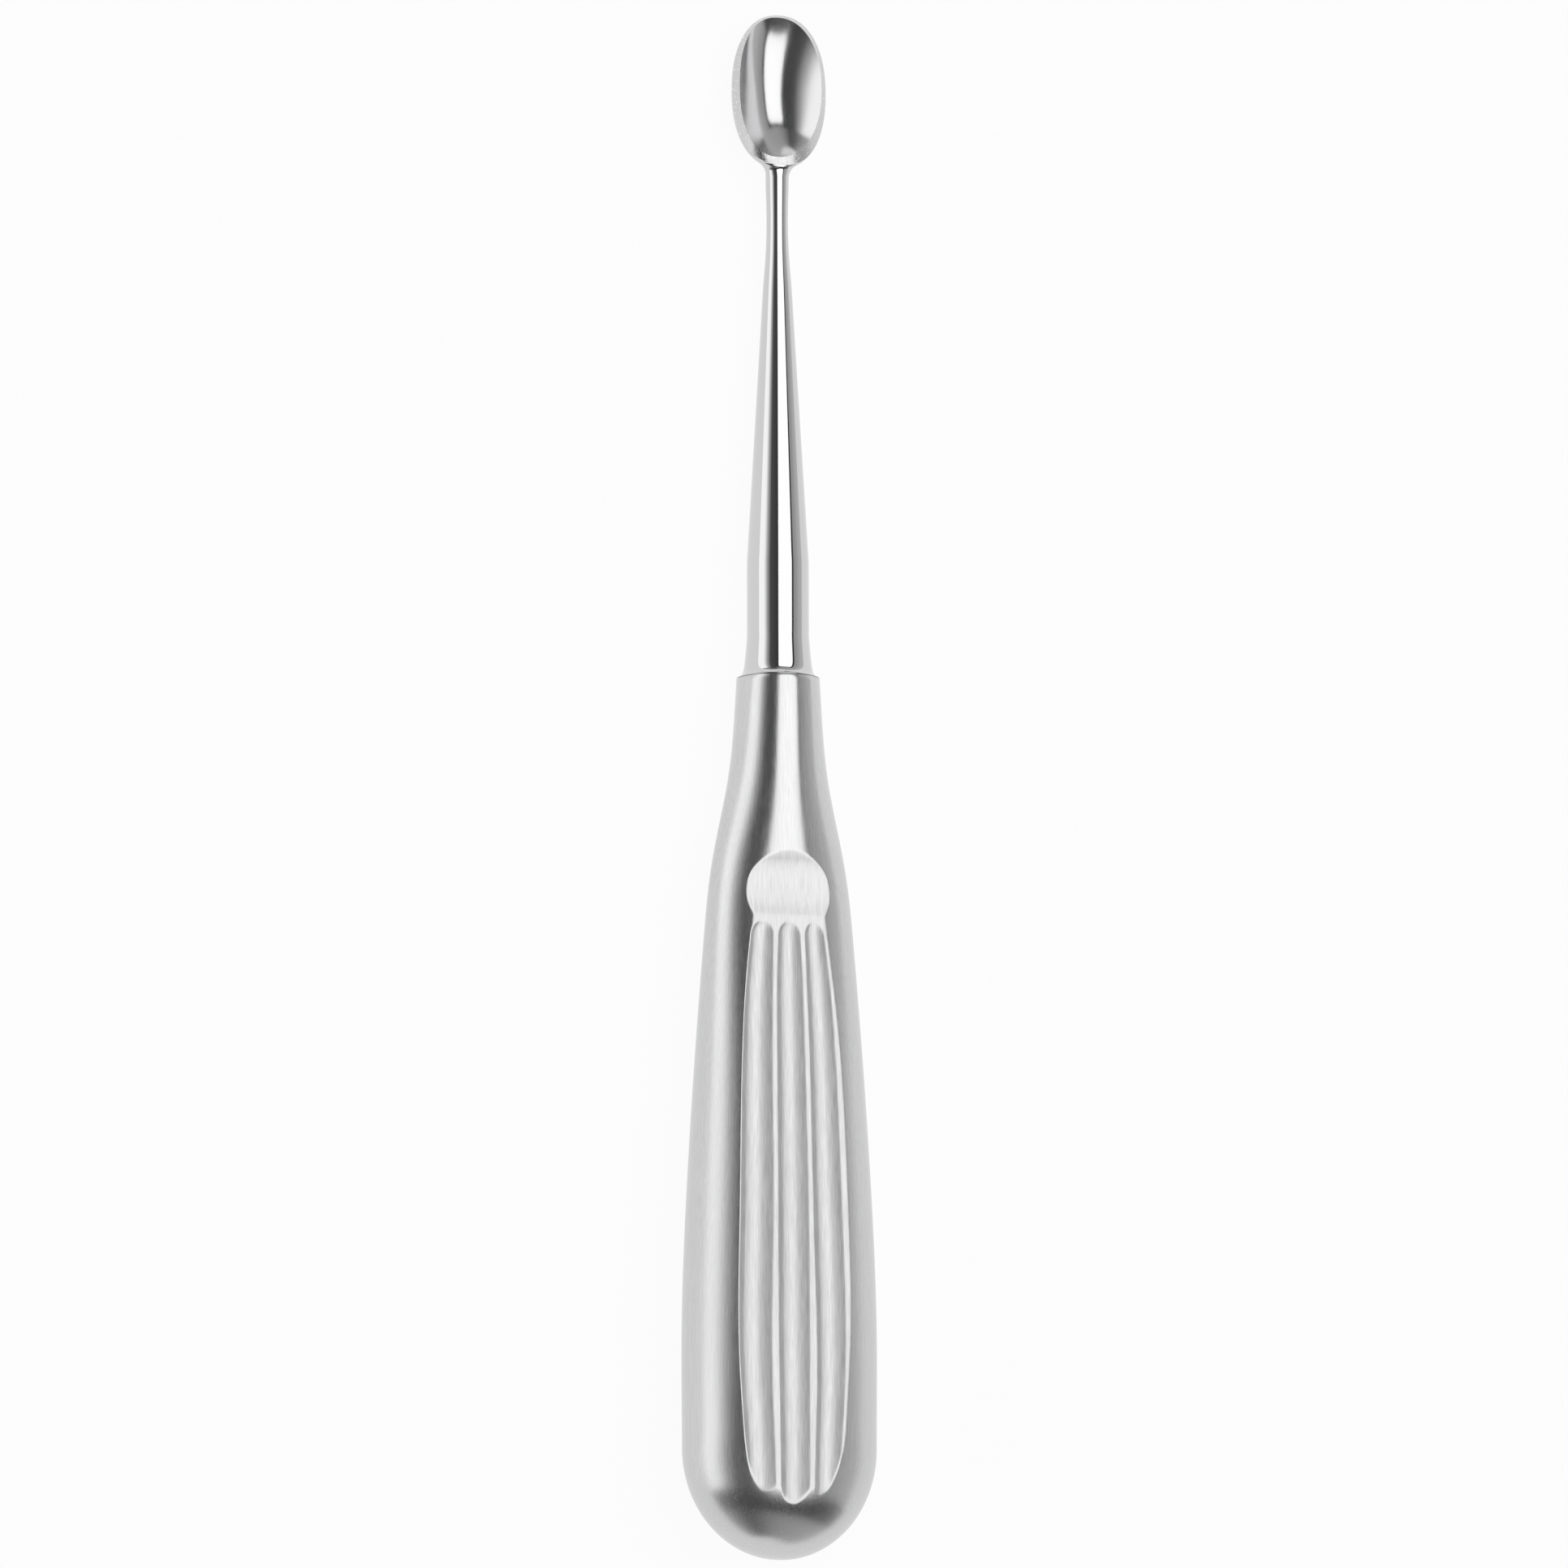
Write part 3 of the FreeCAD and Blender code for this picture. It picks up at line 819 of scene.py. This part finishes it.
LAMP_ANGLES = (-14, 37)
LAMP_ENDS = (-0.42, 0.69)
LAMP_STRENGTH = 1.6
LAMP_CORNER = 0.14
LAMP_STEPS = 48
TENT_STEPS = 90
FLOOR_SIZE = 8.0
PAPER_TONE = 0.86
# Share of plain white in what a ray that looks at the floor sees, the rest being its shaded paper
WHITE_SHARE = 0.94


def arc_sheet(name, radius, first, last, ends, steps, material, corner=0.0):
    """Curved sheet about the frame's Y axis with rounded corners, hidden from the camera."""
    points = []
    faces = []
    for step in range(steps + 1):
        angle = math.radians(first + (last - first) * step / steps)
        near_side = radius * math.radians(last - first) * min(step, steps - step) / steps
        cut = corner - math.sqrt(max(corner**2 - max(corner - near_side, 0.0) ** 2, 0.0))
        for end, inward in zip(ends, (cut, -cut)):
            points.append((radius * math.sin(angle), end + inward, radius * math.cos(angle)))
    for step in range(steps):
        here = 2 * step
        faces.append((here, here + 1, here + 3, here + 2))
    mesh = bpy.data.meshes.new(name)
    mesh.from_pydata(points, [], faces)
    mesh.materials.append(material)
    layer = mesh.uv_layers.new(name="share")
    for polygon in mesh.polygons:
        for loop in polygon.loop_indices:
            vertex = mesh.loops[loop].vertex_index
            layer.data[loop].uv = (vertex // 2 / steps, vertex % 2)
    sheet = bpy.data.objects.new(name, mesh)
    bpy.context.scene.collection.objects.link(sheet)
    sheet.visible_camera = False
    sheet.visible_shadow = False


def glow(name, strength):
    """Material that only shines, with its node for the light."""
    made = Nodes(name)
    light = made.add("ShaderNodeEmission")
    light.inputs["Strength"].default_value = strength
    made.link(light.outputs["Emission"], made.output.inputs["Surface"])
    made.material.cycles.emission_sampling = "NONE"
    return made, light


def make_tent(name, radius, ends, strips):
    """Half tube over the instrument, lit in strips along it."""
    brightest = max(level for _, level in strips)
    made, light = glow(name, brightest)
    place = made.add("ShaderNodeUVMap", uv_map="share")
    split = made.add("ShaderNodeSeparateXYZ")
    made.link(place.outputs["UV"], split.inputs["Vector"])
    positions = [(angle + 90) / 180 for angle, _ in strips]
    colors = [[level / brightest] * 3 for _, level in strips]
    made.link(made.ramp(split.outputs["X"], positions, colors), light.inputs["Color"])
    arc_sheet(name, radius, -90, 90, ends, TENT_STEPS, made.material)


def make_lamp():
    """Soft lamp overhead, a little to the right."""
    made, _ = glow("softbox", LAMP_STRENGTH)
    arc_sheet("softbox", LAMP_RADIUS, *LAMP_ANGLES, LAMP_ENDS, LAMP_STEPS, made.material, LAMP_CORNER)


def make_floor():
    """White floor that shows as the white background and keeps a shadow."""
    made = Nodes("white_floor")
    paper = made.add("ShaderNodeBsdfDiffuse")
    paper.inputs["Color"].default_value = (PAPER_TONE, PAPER_TONE, PAPER_TONE, 1)
    white = made.add("ShaderNodeEmission")
    rays = made.add("ShaderNodeLightPath")
    seen = made.math("MAXIMUM", rays.outputs["Is Camera Ray"], rays.outputs["Is Glossy Ray"])
    seen = made.math("MAXIMUM", seen, rays.outputs["Is Transmission Ray"])
    mix = made.add("ShaderNodeMixShader")
    made.link(made.math("MULTIPLY", seen, WHITE_SHARE), mix.inputs["Fac"])
    made.link(paper.outputs["BSDF"], mix.inputs[1])
    made.link(white.outputs["Emission"], mix.inputs[2])
    made.link(mix.outputs["Shader"], made.output.inputs["Surface"])
    made.material.cycles.emission_sampling = "NONE"
    bpy.ops.mesh.primitive_plane_add(size=FLOOR_SIZE, location=(0, 0, 0))
    floor = bpy.context.object
    floor.name = "floor"
    floor.data.materials.append(made.material)


def make_world():
    world = bpy.data.worlds.new("white_room")
    bpy.context.scene.world = world
    world.use_nodes = True
    background = world.node_tree.nodes["Background"]
    background.inputs["Color"].default_value = (1, 1, 1, 1)
    background.inputs["Strength"].default_value = 1.0


make_tent("near_tent", **NEAR_TENT)
make_tent("butt_tent", **BUTT_TENT)
make_tent("far_tent", **FAR_TENT)
make_lamp()
make_floor()
make_world()

# Camera

# It is rolled round the instrument and leans towards its butt end, as in the photograph. A pixel is
# measured at the instrument, and the axis pixel is the column that the instrument's axis lies on.
FRAME_PIXELS = 1932
PIXEL_MM = 0.0883
ROLL_DEG = 16.0
LEAN_DEG = 9.0
LENS_MM = 300.0
SENSOR_MM = 36.0
AXIS_PIXEL = 958.9
CENTRE_STATION = 84.68
TURN_DEG = 0.11
CLIP_START = 0.05
CLIP_END = 50.0


def make_camera():
    roll, lean = math.radians(ROLL_DEG), math.radians(LEAN_DEG)
    right = ACROSS * math.cos(roll) + UP * math.sin(roll)
    square = UP * math.cos(roll) - ACROSS * math.sin(roll)
    back = square * math.cos(lean) - AXIS * math.sin(lean)
    right = Matrix.Rotation(math.radians(-TURN_DEG), 3, back) @ right
    above = back.cross(right)
    width = FRAME_PIXELS * PIXEL_MM * MM
    aside = (FRAME_PIXELS / 2 - AXIS_PIXEL) * PIXEL_MM * MM
    aim = BUTT + AXIS * (CENTRE_STATION * MM) + right * aside
    data = bpy.data.cameras.new("camera")
    data.lens = LENS_MM
    data.sensor_width = SENSOR_MM
    data.clip_start = CLIP_START
    data.clip_end = CLIP_END
    camera = bpy.data.objects.new("camera", data)
    bpy.context.scene.collection.objects.link(camera)
    rotation = Matrix((right, above, back)).transposed().to_4x4()
    camera.matrix_world = Matrix.Translation(aim + back * (width * LENS_MM / SENSOR_MM)) @ rotation
    bpy.context.scene.camera = camera


make_camera()
bpy.context.scene.view_settings.view_transform = "Standard"
